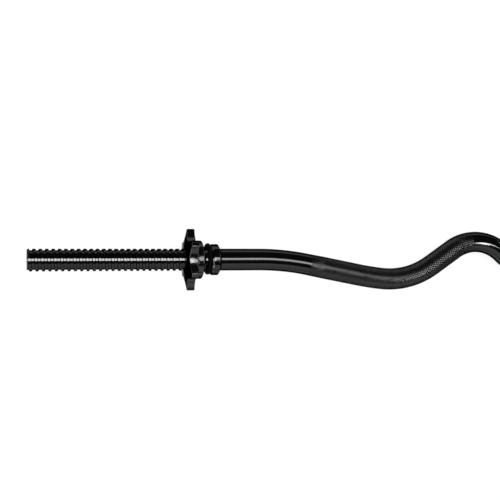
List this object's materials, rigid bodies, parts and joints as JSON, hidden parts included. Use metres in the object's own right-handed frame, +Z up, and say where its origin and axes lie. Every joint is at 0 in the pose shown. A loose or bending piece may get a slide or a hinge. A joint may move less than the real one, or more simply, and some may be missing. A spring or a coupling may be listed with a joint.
{
  "type": "ez curl bar",
  "caption": "Short W-bent steel curl bar with knurled grips, coarse threaded ends for plates, pressed inner collars, rubber rings and screw-on star nuts.",
  "frame": {"origin": "on the floor under the middle of the bar, which lies flat on the lobes of its star nuts", "axes": "+X along the bar to its right-hand end, +Y across it in the plane of its bends towards the humps, +Z up"},
  "size_m": [1.2, 0.0715, 0.0626],
  "materials": {
    "black_steel": "gloss black",
    "black_collar": "gloss black",
    "black_rubber": "matte",
    "black_casting": "gloss black enamel"
  },
  "bodies": {
    "bar": {"shaft": "black_steel", "left_threaded_end": "black_steel", "right_threaded_end": "black_steel", "left_inner_collar": "black_collar", "right_inner_collar": "black_collar"},
    "left_ring": {"left_rubber_ring": "black_rubber"},
    "left_nut": {"left_star_nut": "black_casting"},
    "right_ring": {"right_rubber_ring": "black_rubber"},
    "right_nut": {"right_star_nut": "black_casting"}
  },
  "joints": [
    {"name": "left_ring_slide", "type": "slide", "parent": "bar", "child": "left_ring", "axis": [-1, 0, 0], "range_m": [0, 0.2071]},
    {"name": "left_nut_turn", "type": "hinge", "parent": "left_ring", "child": "left_nut", "pos_m": [-0.41, 0, 0.03131], "axis": [-1, 0, 0], "range_deg": [0, 10800]},
    {"name": "right_ring_slide", "type": "slide", "parent": "bar", "child": "right_ring", "axis": [1, 0, 0], "range_m": [0, 0.2071]},
    {"name": "right_nut_turn", "type": "hinge", "parent": "right_ring", "child": "right_nut", "pos_m": [0.41, 0, 0.03131], "axis": [1, 0, 0], "range_deg": [0, 10800]}
  ],
  "couplings": [
    {"joint": "left_ring_slide", "follows": "left_nut_turn", "m_per_rad": 0.0010982},
    {"joint": "right_ring_slide", "follows": "right_nut_turn", "m_per_rad": 0.0010982}
  ]
}
